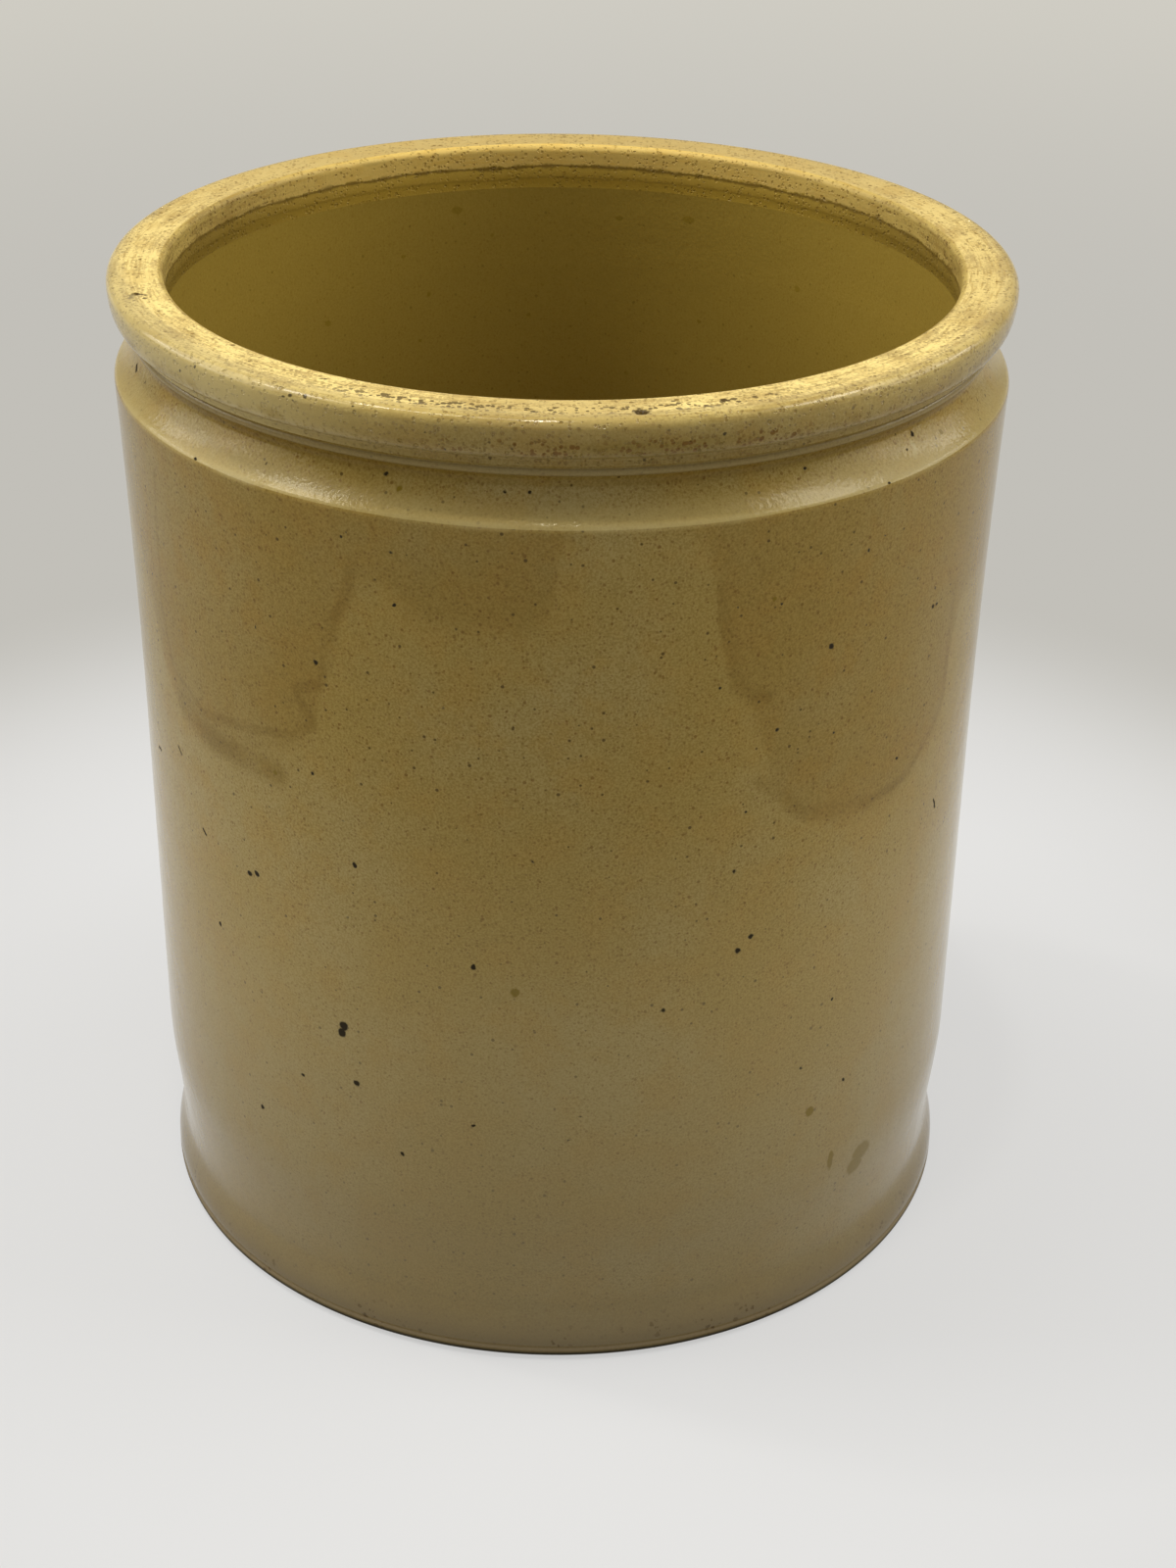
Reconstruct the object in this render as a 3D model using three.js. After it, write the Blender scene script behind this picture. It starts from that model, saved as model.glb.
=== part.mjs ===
// A wide-mouthed stoneware jar: floor slab, wall, shoulder collar and rolled rim.
// Millimetres, +Z up, with the origin at the middle of the underside.
// Each clay member is a turned ring or disc. They sit on one another on flat seats, and a tenon,
// tongue or plug on one member locates it in the next with a thin gap for the joining slip.

import * as THREE from 'three';

// Bore
const INSIDE_RADIUS = 66;
const MOUTH_LIP = 0.3;

// Floor slab
const SLAB_EDGE_HEIGHT = 3;
const PLUG_HEIGHT = 6;
const FOOT_ROUND = 0.9;

// Wall: its height, and its thickness at the foot, the waist, the body and the shoulder
const WALL_HEIGHT = 154.1;
const FOOT_WALL = 7.4;
const WAIST_WALL = 5.9;
const BODY_WALL = 7.4;
const SHOULDER_WALL = 8.8;
const WAIST_RISE = 7.5;
const BODY_RISE = 22;
const SHOULDER_FLARE = 67;

// Shoulder collar: cove up to the tie groove, throat up to the fine bead, and the bead
const COVE_HEIGHT = 5.3;
const THROAT_HEIGHT = 2.5;
const BEAD_HEIGHT = 1;
const NECK_WALL = 4.4;
const COVE_TURN = THREE.MathUtils.degToRad(29.4);

// Rim: a narrow channel above its seat, a lip over it, a belly up to the widest line, and a round
// edge from there to the flat top
const RIM_OVERHANG = 0.7;
const CHANNEL_HEIGHT = 1.2;
const LIP_REACH = 1.4;
const LIP_RISE = 0.6;
const RIM_BULGE = 1.5;
const RIM_BELLY_HEIGHT = 4.7;
const RIM_ROUND = 1.6;
const MOUTH_ROUND = 0.8;

// Joints between the members
const SLIP_GAP = 0.3;
const TENON_THICKNESS = 3.4;
const TENON_LENGTH = 6;
const TONGUE_INSET = 1.6;
const TONGUE_THICKNESS = 2.2;
const TONGUE_HEIGHT = 3;
const SEAT_LAND = 1.6;

// Facets
const TURN_STEPS = 72;
const CURVE_STEPS = 6;
const ROUND_STEPS = 4;

// Levels, from the underside up
const wallBottom = SLAB_EDGE_HEIGHT;
const floorTop = SLAB_EDGE_HEIGHT + PLUG_HEIGHT;
const waistLevel = wallBottom + WAIST_RISE;
const bodyLevel = waistLevel + BODY_RISE;
const shoulderLevel = wallBottom + WALL_HEIGHT;
const flareLevel = shoulderLevel - SHOULDER_FLARE;
const neckLevel = shoulderLevel + COVE_HEIGHT;
const beadLevel = neckLevel + THROAT_HEIGHT;
const rimBottom = beadLevel + BEAD_HEIGHT;
const lipLevel = rimBottom + CHANNEL_HEIGHT + LIP_RISE;
const widestLevel = lipLevel + RIM_BELLY_HEIGHT;
const rimTop = widestLevel + RIM_ROUND;

// Radii, from the bore outwards
const mouthRadius = INSIDE_RADIUS - MOUTH_LIP;
const footRadius = INSIDE_RADIUS + FOOT_WALL;
const waistRadius = INSIDE_RADIUS + WAIST_WALL;
const bodyRadius = INSIDE_RADIUS + BODY_WALL;
const shoulderRadius = INSIDE_RADIUS + SHOULDER_WALL;
const neckRadius = INSIDE_RADIUS + NECK_WALL;
const tenonRadius = INSIDE_RADIUS + TENON_THICKNESS;
const tongueInner = INSIDE_RADIUS + TONGUE_INSET;
const tongueOuter = tongueInner + TONGUE_THICKNESS;
const seatRadius = tongueOuter + SEAT_LAND;
const rimFootRadius = seatRadius + RIM_OVERHANG;
const lipRadius = rimFootRadius + LIP_REACH;
const rimRadius = lipRadius + RIM_BULGE;

const point = (radius, level) => new THREE.Vector2(radius, level);

// Points of a curve from 0 to 1, without its first point, which the outline already has.
function curvePoints(steps, at) {
  return Array.from({ length: steps }, (_, i) => at((i + 1) / steps));
}

// A soft bend of the outer face from one radius and level to another, upright at both ends.
function easedFace(from, to) {
  return curvePoints(CURVE_STEPS, (t) => {
    const ease = t * t * (3 - 2 * t);
    return point(THREE.MathUtils.lerp(from.x, to.x, ease), THREE.MathUtils.lerp(from.y, to.y, t));
  });
}

// A face that starts upright and widens steadily faster.
function flaredFace(from, to) {
  return curvePoints(CURVE_STEPS, (t) => {
    return point(THREE.MathUtils.lerp(from.x, to.x, t * t), THREE.MathUtils.lerp(from.y, to.y, t));
  });
}

// Part of an ellipse about a centre, between two angles counted from the outward direction.
function ellipsePoints(centre, width, height, start, end, steps) {
  return curvePoints(steps, (t) => {
    const angle = THREE.MathUtils.lerp(start, end, t);
    return point(centre.x + width * Math.cos(angle), centre.y + height * Math.sin(angle));
  });
}

function turned(name, outline, material) {
  const geometry = new THREE.LatheGeometry(outline, TURN_STEPS);
  geometry.rotateX(Math.PI / 2);
  const mesh = new THREE.Mesh(geometry, material);
  mesh.name = name;
  return mesh;
}

const glaze = (color) => new THREE.MeshStandardMaterial({ color, roughness: 0.25, metalness: 0 });
const bareClay = (color) => new THREE.MeshStandardMaterial({ color, roughness: 0.8, metalness: 0 });

// Floor slab: a disc with a rounded lower edge, and a plug that stands up inside the wall.
function baseSlab() {
  const plugRadius = INSIDE_RADIUS - SLIP_GAP;
  const edgeCentre = point(footRadius - FOOT_ROUND, FOOT_ROUND);
  return turned('base_slab', [
    point(0, 0),
    point(footRadius - FOOT_ROUND, 0),
    ...ellipsePoints(edgeCentre, FOOT_ROUND, FOOT_ROUND, -Math.PI / 2, 0, ROUND_STEPS),
    point(footRadius, wallBottom),
    point(plugRadius, wallBottom),
    point(plugRadius, floorTop),
    point(0, floorTop),
  ], bareClay(0x8d7a55));
}

// Wall: drawn in at the waist, nearly straight, then flared to the shoulder edge. A rebate inside
// its top takes the collar's tenon.
function bodyWall() {
  const foot = point(footRadius, wallBottom);
  const waist = point(waistRadius, waistLevel);
  const body = point(bodyRadius, bodyLevel);
  const flare = point(bodyRadius, flareLevel);
  const shoulder = point(shoulderRadius, shoulderLevel);
  const rebateRadius = tenonRadius + SLIP_GAP;
  const rebateLevel = shoulderLevel - TENON_LENGTH - SLIP_GAP;
  return turned('body_wall', [
    point(INSIDE_RADIUS, wallBottom),
    foot,
    ...easedFace(foot, waist),
    ...easedFace(waist, body),
    flare,
    ...flaredFace(flare, shoulder),
    point(rebateRadius, shoulderLevel),
    point(rebateRadius, rebateLevel),
    point(INSIDE_RADIUS, rebateLevel),
    point(INSIDE_RADIUS, wallBottom),
  ], glaze(0x9a8250));
}

// Shoulder collar: a tenon below, the cove and tie groove outside, and a tongue on top for the rim.
function shoulderCollar() {
  const coveReach = shoulderRadius - neckRadius;
  const coveRadius = Math.hypot(coveReach, COVE_HEIGHT) / (2 * Math.sin(COVE_TURN / 2));
  const grooveTilt = Math.atan2(coveReach, COVE_HEIGHT) - COVE_TURN / 2;
  const edgeTilt = grooveTilt + COVE_TURN;
  const coveCentre = point(
    neckRadius + coveRadius * Math.cos(grooveTilt),
    neckLevel + coveRadius * Math.sin(grooveTilt),
  );
  const throat = point(neckRadius, neckLevel);
  const bead = point(seatRadius, beadLevel);
  return turned('shoulder_collar', [
    point(INSIDE_RADIUS, shoulderLevel - TENON_LENGTH),
    point(tenonRadius, shoulderLevel - TENON_LENGTH),
    point(tenonRadius, shoulderLevel),
    point(shoulderRadius, shoulderLevel),
    ...ellipsePoints(
      coveCentre, coveRadius, coveRadius, Math.PI + edgeTilt, Math.PI + grooveTilt, CURVE_STEPS,
    ),
    ...flaredFace(throat, bead),
    point(seatRadius, rimBottom),
    point(tongueOuter, rimBottom),
    point(tongueOuter, rimBottom + TONGUE_HEIGHT),
    point(tongueInner, rimBottom + TONGUE_HEIGHT),
    point(tongueInner, rimBottom),
    point(INSIDE_RADIUS, rimBottom),
    point(INSIDE_RADIUS, shoulderLevel - TENON_LENGTH),
  ], glaze(0x937c4b));
}

// Rim: a rolled ring with a flat top and a lower lip, grooved underneath for the collar's tongue.
function rimRing() {
  const quarter = Math.PI / 2;
  const bellyCentre = point(lipRadius, widestLevel);
  const roundCentre = point(rimRadius - RIM_ROUND, widestLevel);
  const mouthCentre = point(mouthRadius + MOUTH_ROUND, rimTop - MOUTH_ROUND);
  const grooveInner = tongueInner - SLIP_GAP;
  const grooveOuter = tongueOuter + SLIP_GAP;
  const grooveTop = rimBottom + TONGUE_HEIGHT + SLIP_GAP;
  return turned('rim_ring', [
    point(grooveOuter, rimBottom),
    point(rimFootRadius, rimBottom),
    point(rimFootRadius, rimBottom + CHANNEL_HEIGHT),
    point(lipRadius, lipLevel),
    ...ellipsePoints(bellyCentre, RIM_BULGE, RIM_BELLY_HEIGHT, -quarter, 0, CURVE_STEPS),
    ...ellipsePoints(roundCentre, RIM_ROUND, RIM_ROUND, 0, quarter, CURVE_STEPS),
    point(mouthRadius + MOUTH_ROUND, rimTop),
    ...ellipsePoints(mouthCentre, MOUTH_ROUND, MOUTH_ROUND, quarter, Math.PI, ROUND_STEPS),
    point(mouthRadius, rimBottom),
    point(grooveInner, rimBottom),
    point(grooveInner, grooveTop),
    point(grooveOuter, grooveTop),
    point(grooveOuter, rimBottom),
  ], bareClay(0xc9ab66));
}

const jar = new THREE.Group();
jar.add(baseSlab(), bodyWall(), shoulderCollar(), rimRing());

export default jar;
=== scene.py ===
"""A wide-mouthed stoneware jar: four turned clay members, a speckled olive-tan salt glaze and a worn rim.

Metres, +Z up, with the origin at the middle of the underside. The camera looks along +Y.
"""

from math import atan2, cos, hypot, pi, radians, sin, sqrt

import bpy
import numpy as np
from mathutils import Matrix, Vector

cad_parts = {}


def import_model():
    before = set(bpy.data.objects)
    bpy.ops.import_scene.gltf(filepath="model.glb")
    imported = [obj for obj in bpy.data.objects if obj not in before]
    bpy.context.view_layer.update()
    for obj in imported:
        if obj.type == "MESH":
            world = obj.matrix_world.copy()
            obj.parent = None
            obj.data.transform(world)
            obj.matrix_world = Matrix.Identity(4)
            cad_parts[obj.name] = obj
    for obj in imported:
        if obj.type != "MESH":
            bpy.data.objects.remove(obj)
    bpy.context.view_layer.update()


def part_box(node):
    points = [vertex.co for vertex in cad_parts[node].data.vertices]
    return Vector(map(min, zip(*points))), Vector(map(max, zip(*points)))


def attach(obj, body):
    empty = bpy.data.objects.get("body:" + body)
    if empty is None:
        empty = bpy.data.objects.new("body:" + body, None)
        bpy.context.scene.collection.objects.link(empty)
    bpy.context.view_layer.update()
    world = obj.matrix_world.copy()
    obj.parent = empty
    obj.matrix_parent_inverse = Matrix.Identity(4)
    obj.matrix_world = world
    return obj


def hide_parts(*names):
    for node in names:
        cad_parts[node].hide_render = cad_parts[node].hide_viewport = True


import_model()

# Camera, and the photograph's frame in pixels
CAMERA_PLACE = Vector((0, -0.4250, 0.3114))
CAMERA_PITCH = 0.5099
CAMERA_YAW = 0.0127
CAMERA_ROLL = 0.0155
CLIP_START = 0.01
IMAGE_WIDTH = 1200
IMAGE_HEIGHT = 1600
FOCAL_PIXELS = 2700
SENSOR = 36
SIGHT_STEPS = 20

# Levels and radii that the frame gives
_, SLAB_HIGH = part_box("base_slab")
WALL_LOW, WALL_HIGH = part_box("body_wall")
COLLAR_LOW, COLLAR_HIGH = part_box("shoulder_collar")
RIM_LOW, RIM_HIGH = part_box("rim_ring")
WALL_BOTTOM = WALL_LOW.z
FLOOR_TOP = SLAB_HIGH.z
SHOULDER_LEVEL = WALL_HIGH.z
TENON_BOTTOM = COLLAR_LOW.z
RIM_BOTTOM = RIM_LOW.z
TONGUE_TOP = COLLAR_HIGH.z
RIM_TOP = RIM_HIGH.z
FOOT_RADIUS = SLAB_HIGH.x
SHOULDER_RADIUS = WALL_HIGH.x
RIM_RADIUS = RIM_HIGH.x

# Bore and wall
INSIDE_RADIUS = 0.066
MOUTH_RADIUS = 0.0657
WAIST_RADIUS = 0.0719
BODY_RADIUS = 0.0734
WAIST_LEVEL = 0.0105
BODY_LEVEL = 0.0325
FLARE_LEVEL = 0.0901
FOOT_ROUND = 0.0007
FOOT_LIFT = 0.0007
FOOT_UNDERCUT = 0.0035
FLOOR_RING = 0.0065
EDGE_SOFTENING = 0.0007
EDGE_INSET = 0.00002

# Shoulder collar
NECK_RADIUS = 0.0704
NECK_LEVEL = 0.1624
COVE_TURN = radians(29.4)
COVE_EDGE = 0.88
THROAT_RADIUS = 0.0709
BEAD_REACH = 0.0010
BEAD_LEVEL = 0.1648
BEAD_HALF = 0.0008
BEAD_END = radians(42)
SEAT_EDGE = 0.07205

# Rim
CHANNEL_RADIUS = 0.0721
CHANNEL_TOP = 0.1671
CHANNEL_BEND = 0.0004
CHANNEL_BEND_RISE = 0.0002
LIP_RADIUS = 0.0735
LIP_LEVEL = 0.1677
RIM_WIDEST = 0.1724
RIM_ROUND = 0.0016
MOUTH_ROUND = 0.0013
MOUTH_EASE_LEVEL = 0.1690

# Joints between the members
SLIP_GAP = 0.0003
PLUG_GAP = 0.00002
TENON_RADIUS = 0.0694
TONGUE_INNER = 0.0676
TONGUE_OUTER = 0.0698

# Facets: steps round the jar, and the spacing of rows along an outline
WALL_STEPS = 512
COLLAR_STEPS = 720
RIM_STEPS = 960
BROAD_ROW = 0.006
HIDDEN_ROW = 0.003
SEAT_ROW = 0.002
ROW = 0.0015
NARROW_ROW = 0.001
WAIST_ROW = 0.0006
EDGE_ROW = 0.0005
TOP_ROW = 0.0004
CHANNEL_ROW = 0.0003
BEAD_ROW = 0.0002

# Rows of the rounded stretches, and the angle from which an edge is shaded sharp
FOOT_ROWS = 8
EDGE_ROWS = 5
COVE_ROWS = 16
BEAD_ROWS = 12
CHANNEL_ROWS = 4
BELLY_ROWS = 20
RIM_ROUND_ROWS = 16
MOUTH_ROWS = 12
SHARP_ANGLE = radians(40)

# Hand-thrown unevenness, always inwards. A drift wave has a count round the jar, radians per metre of height
# and a phase
OVAL_DEPTH = 0.00025
DRIFT_DEPTH = 0.00012
DRIFT_WAVES = [(3, 21, 0.7), (5, -34, 2.1)]
RING_DEPTH = 0.00002
RING_SPACING = 0.009


def camera_axes():
    """Right, up and forward of the camera."""
    forward = Vector((
        sin(CAMERA_YAW) * cos(CAMERA_PITCH),
        cos(CAMERA_YAW) * cos(CAMERA_PITCH),
        -sin(CAMERA_PITCH),
    ))
    level = Vector((cos(CAMERA_YAW), -sin(CAMERA_YAW), 0))
    upright = level.cross(forward)
    right = cos(CAMERA_ROLL) * level + sin(CAMERA_ROLL) * upright
    up = cos(CAMERA_ROLL) * upright - sin(CAMERA_ROLL) * level
    return right, up, forward


def sight_line(pixel):
    """The direction from the camera to what a pixel of the photograph shows."""
    right, up, forward = camera_axes()
    sight = forward + right * ((pixel[0] - IMAGE_WIDTH / 2) / FOCAL_PIXELS)
    return sight + up * ((IMAGE_HEIGHT / 2 - pixel[1]) / FOCAL_PIXELS)


def on_round(pixel, radius, far=False):
    """The point of an upright cylinder about the jar's axis that a pixel of the photograph shows."""
    sight = sight_line(pixel)
    flat = sight.x ** 2 + sight.y ** 2
    along = CAMERA_PLACE.x * sight.x + CAMERA_PLACE.y * sight.y
    beyond = CAMERA_PLACE.x ** 2 + CAMERA_PLACE.y ** 2 - radius ** 2
    root = sqrt(max(along ** 2 - flat * beyond, 0))
    reach = (-along + root) / flat if far else (-along - root) / flat
    return CAMERA_PLACE + sight * reach


def on_level(pixel, level):
    """The point of a level plane that a pixel of the photograph shows."""
    sight = sight_line(pixel)
    return CAMERA_PLACE + sight * ((level - CAMERA_PLACE.z) / sight.z)


def outer_radius(height):
    """The jar's outer radius at a height, without its waist, fine bead and channel."""
    if height > RIM_WIDEST:
        return RIM_RADIUS - RIM_ROUND + sqrt(max(RIM_ROUND ** 2 - (height - RIM_WIDEST) ** 2, 0))
    if height > LIP_LEVEL:
        share = (RIM_WIDEST - height) / (RIM_WIDEST - LIP_LEVEL)
        return LIP_RADIUS + (RIM_RADIUS - LIP_RADIUS) * sqrt(1 - share ** 2)
    if height > NECK_LEVEL:
        return NECK_RADIUS
    if height > SHOULDER_LEVEL:
        share = (NECK_LEVEL - height) / (NECK_LEVEL - SHOULDER_LEVEL)
        return cove_point(share)[0]
    flare = max(height - FLARE_LEVEL, 0) / (SHOULDER_LEVEL - FLARE_LEVEL)
    return BODY_RADIUS + (SHOULDER_RADIUS - BODY_RADIUS) * flare ** 2


def on_outside(pixel):
    """The point of the jar's outside that a pixel of the photograph shows."""
    place = on_round(pixel, SHOULDER_RADIUS)
    for _ in range(SIGHT_STEPS):
        place = on_round(pixel, outer_radius(place.z))
    return place


def unrolled(place):
    """A point of the outside with the surface unrolled flat: the way round from the front, and height."""
    return atan2(place.x, -place.y) * BODY_RADIUS, place.z


# Outlines: points as radius and height. Each stretch leaves out its start, which the outline already has


def straight(start, end, spacing):
    """Evenly spaced points from start to end."""
    count = max(1, round(hypot(end[0] - start[0], end[1] - start[1]) / spacing))
    return [(start[0] + (end[0] - start[0]) * i / count, start[1] + (end[1] - start[1]) * i / count)
            for i in range(1, count + 1)]


def bent(start, end, spacing, ease):
    """Points from start to end, with the radius changing as an ease of the share of the height."""
    points = []
    for _, height in straight((0, start[1]), (0, end[1]), spacing):
        part = (height - start[1]) / (end[1] - start[1])
        points.append((start[0] + (end[0] - start[0]) * ease(part), height))
    return points


def eased(start, end, spacing):
    """A soft bend between two points, upright at both ends."""
    return bent(start, end, spacing, lambda part: part * part * (3 - 2 * part))


def flared(start, end, spacing):
    """A face that starts upright and widens steadily faster."""
    return bent(start, end, spacing, lambda part: part * part)


def eased_rise(start, end, spacing):
    """A soft rise of the underside from one radius to another, level at both ends."""
    return [(radius, level) for level, radius in eased(start[::-1], end[::-1], spacing)]


def arc(centre, width, height, begin, finish, count):
    """Part of an ellipse between two angles counted from the outward direction."""
    turn = [begin + (finish - begin) * i / count for i in range(1, count + 1)]
    return [(centre[0] + width * cos(a), centre[1] + height * sin(a)) for a in turn]


def bend(start, corner, end, begin, finish, count):
    """Part of a soft corner, between two shares of a quadratic curve from start to end."""
    points = []
    for i in range(1, count + 1):
        t = begin + (finish - begin) * i / count
        weights = ((1 - t) ** 2, 2 * t * (1 - t), t * t)
        points.append(tuple(sum(w * p[k] for w, p in zip(weights, (start, corner, end))) for k in (0, 1)))
    return points


def cove_point(share):
    """A point of the cove, from share 0 in the groove to 1 at the shoulder edge."""
    reach = SHOULDER_RADIUS - NECK_RADIUS
    drop = NECK_LEVEL - SHOULDER_LEVEL
    radius = hypot(reach, drop) / (2 * sin(COVE_TURN / 2))
    groove_tilt = atan2(reach, drop) - COVE_TURN / 2
    tilt = groove_tilt + COVE_TURN * share
    across = radius * (cos(groove_tilt) - cos(tilt))
    down = radius * (sin(tilt) - sin(groove_tilt))
    return NECK_RADIUS + across, NECK_LEVEL - down


def shoulder_corner():
    """Start, corner and end of the soft shoulder edge, which the wall and the collar share."""
    below = (SHOULDER_RADIUS - EDGE_INSET, SHOULDER_LEVEL - EDGE_SOFTENING)
    return below, (SHOULDER_RADIUS, SHOULDER_LEVEL), cove_point(COVE_EDGE)


def joined(start, *stretches):
    """Points from a start through stretches: lists of points, or corners with a row spacing."""
    points = [start]
    for stretch in stretches:
        points += stretch if isinstance(stretch, list) else straight(points[-1], *stretch)
    return points


def slab_outline():
    edge = (FOOT_RADIUS - FOOT_ROUND, FOOT_LIFT + FOOT_ROUND)
    undercut = (FOOT_RADIUS - FOOT_UNDERCUT, 0)
    plug_radius = INSIDE_RADIUS - PLUG_GAP
    return joined(
        (0, 0),
        (undercut, BROAD_ROW),
        eased_rise(undercut, (edge[0], FOOT_LIFT), TOP_ROW),
        arc(edge, FOOT_ROUND, FOOT_ROUND, -pi / 2, 0, FOOT_ROWS),
        ((FOOT_RADIUS, WALL_BOTTOM), EDGE_ROW),
        ((plug_radius, WALL_BOTTOM), HIDDEN_ROW),
        ((plug_radius, FLOOR_TOP), HIDDEN_ROW),
        ((plug_radius - FLOOR_RING, FLOOR_TOP), SEAT_ROW),
        ((0, FLOOR_TOP), BROAD_ROW),
    )


def wall_outline():
    foot = (FOOT_RADIUS, WALL_BOTTOM)
    waist = (WAIST_RADIUS, WAIST_LEVEL)
    body = (BODY_RADIUS, BODY_LEVEL)
    flare = (BODY_RADIUS, FLARE_LEVEL)
    rebate_radius = TENON_RADIUS + SLIP_GAP
    below, corner, above = shoulder_corner()
    return joined(
        (INSIDE_RADIUS, WALL_BOTTOM),
        (foot, HIDDEN_ROW),
        eased(foot, waist, WAIST_ROW),
        eased(waist, body, NARROW_ROW),
        (flare, ROW),
        flared(flare, below, ROW),
        bend(below, corner, above, 0, 0.5, EDGE_ROWS),
        ((rebate_radius, SHOULDER_LEVEL), SEAT_ROW),
        ((rebate_radius, TENON_BOTTOM), HIDDEN_ROW),
        ((INSIDE_RADIUS, TENON_BOTTOM), SEAT_ROW),
        ((INSIDE_RADIUS, WALL_BOTTOM), HIDDEN_ROW),
    )[:-1]


def collar_outline():
    below, corner, above = shoulder_corner()
    edge = bend(below, corner, above, 0, 0.5, 1)[0]
    return joined(
        (INSIDE_RADIUS, TENON_BOTTOM),
        ((TENON_RADIUS, TENON_BOTTOM), SEAT_ROW),
        ((TENON_RADIUS, SHOULDER_LEVEL), SEAT_ROW),
        (edge, SEAT_ROW),
        bend(below, corner, above, 0.5, 1, EDGE_ROWS),
        [cove_point(COVE_EDGE * (1 - i / COVE_ROWS)) for i in range(1, COVE_ROWS + 1)],
        flared((NECK_RADIUS, NECK_LEVEL), (THROAT_RADIUS, BEAD_LEVEL - BEAD_HALF), CHANNEL_ROW),
        arc((THROAT_RADIUS, BEAD_LEVEL), BEAD_REACH, BEAD_HALF, -pi / 2, BEAD_END, BEAD_ROWS),
        ((SEAT_EDGE, RIM_BOTTOM), BEAD_ROW),
        ((TONGUE_OUTER, RIM_BOTTOM), NARROW_ROW),
        ((TONGUE_OUTER, TONGUE_TOP), NARROW_ROW),
        ((TONGUE_INNER, TONGUE_TOP), NARROW_ROW),
        ((TONGUE_INNER, RIM_BOTTOM), NARROW_ROW),
        ((INSIDE_RADIUS, RIM_BOTTOM), NARROW_ROW),
        ((INSIDE_RADIUS, TENON_BOTTOM), ROW),
    )[:-1]


def rim_outline():
    groove_inner = TONGUE_INNER - SLIP_GAP
    groove_outer = TONGUE_OUTER + SLIP_GAP
    groove_top = TONGUE_TOP + SLIP_GAP
    channel = (CHANNEL_RADIUS, CHANNEL_TOP)
    channel_low = (CHANNEL_RADIUS, CHANNEL_TOP - CHANNEL_BEND)
    channel_end = (CHANNEL_RADIUS + CHANNEL_BEND, CHANNEL_TOP + CHANNEL_BEND_RISE)
    belly = (LIP_RADIUS, RIM_WIDEST)
    edge = (RIM_RADIUS - RIM_ROUND, RIM_WIDEST)
    mouth = (MOUTH_RADIUS + MOUTH_ROUND, RIM_TOP - MOUTH_ROUND)
    mouth_low = (MOUTH_RADIUS, MOUTH_EASE_LEVEL)
    return joined(
        (groove_outer, RIM_BOTTOM),
        ((CHANNEL_RADIUS, RIM_BOTTOM), EDGE_ROW),
        (channel_low, CHANNEL_ROW),
        bend(channel_low, channel, channel_end, 0, 1, CHANNEL_ROWS),
        ((LIP_RADIUS, LIP_LEVEL), CHANNEL_ROW),
        arc(belly, RIM_RADIUS - LIP_RADIUS, RIM_WIDEST - LIP_LEVEL, -pi / 2, 0, BELLY_ROWS),
        arc(edge, RIM_ROUND, RIM_ROUND, 0, pi / 2, RIM_ROUND_ROWS),
        ((mouth[0], RIM_TOP), TOP_ROW),
        arc(mouth, MOUTH_ROUND, MOUTH_ROUND, pi / 2, pi, MOUTH_ROWS),
        (mouth_low, WAIST_ROW),
        eased(mouth_low, (INSIDE_RADIUS, RIM_BOTTOM), EDGE_ROW),
        ((groove_inner, RIM_BOTTOM), NARROW_ROW),
        ((groove_inner, groove_top), NARROW_ROW),
        ((groove_outer, groove_top), NARROW_ROW),
        ((groove_outer, RIM_BOTTOM), NARROW_ROW),
    )[:-1]


# Turned meshes


def placed(name, data):
    """A new object in the scene."""
    piece = bpy.data.objects.new(name, data)
    bpy.context.collection.objects.link(piece)
    return piece


def hand_drift(angle, radius, height):
    """How far a hand-thrown surface lies inside the true round, in metres."""
    oval = 0.5 + 0.5 * np.cos(2 * angle)
    waves = sum(np.sin(turns * angle + climb * height + phase) for turns, climb, phase in DRIFT_WAVES)
    drift = 0.5 + 0.5 * waves / len(DRIFT_WAVES)
    rings = 0.5 + 0.5 * np.sin(2 * pi * height / RING_SPACING + angle)
    inset = OVAL_DEPTH * oval + DRIFT_DEPTH * drift + RING_DEPTH * rings
    return inset * np.clip(radius / INSIDE_RADIUS, 0, 1)


def turned(name, outline, steps):
    """A closed mesh turned about Z. An outline that starts and ends on the axis is closed by fans there."""
    on_axis = outline[0][0] == 0
    ring = outline[1:-1] if on_axis else outline
    angle = 2 * pi * np.arange(steps) / steps
    radius, height = (np.repeat(np.array(ring)[:, k:k + 1], steps, axis=1) for k in (0, 1))
    spin = np.repeat(angle[None, :], len(ring), axis=0)
    radius = radius - hand_drift(spin, radius, height)
    places = np.stack((radius * np.sin(spin), -radius * np.cos(spin), height), axis=-1).reshape(-1, 3)
    faces = []
    for row in range(len(ring) - (1 if on_axis else 0)):
        low = row * steps
        high = (row + 1) % len(ring) * steps
        for i in range(steps):
            j = (i + 1) % steps
            faces.append((low + i, low + j, high + j, high + i))
    if on_axis:
        bottom = len(places)
        top = bottom + 1
        last = (len(ring) - 1) * steps
        ends = [(0, 0, outline[0][1]), (0, 0, outline[-1][1])]
        places = np.vstack((places, ends))
        faces += [(bottom, (i + 1) % steps, i) for i in range(steps)]
        faces += [(top, last + i, last + (i + 1) % steps) for i in range(steps)]
    mesh = bpy.data.meshes.new(name)
    mesh.from_pydata(places.tolist(), [], faces)
    mesh.update()
    mesh.shade_smooth()
    mesh.set_sharp_from_angle(angle=SHARP_ANGLE)
    return placed(name, mesh)


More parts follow.
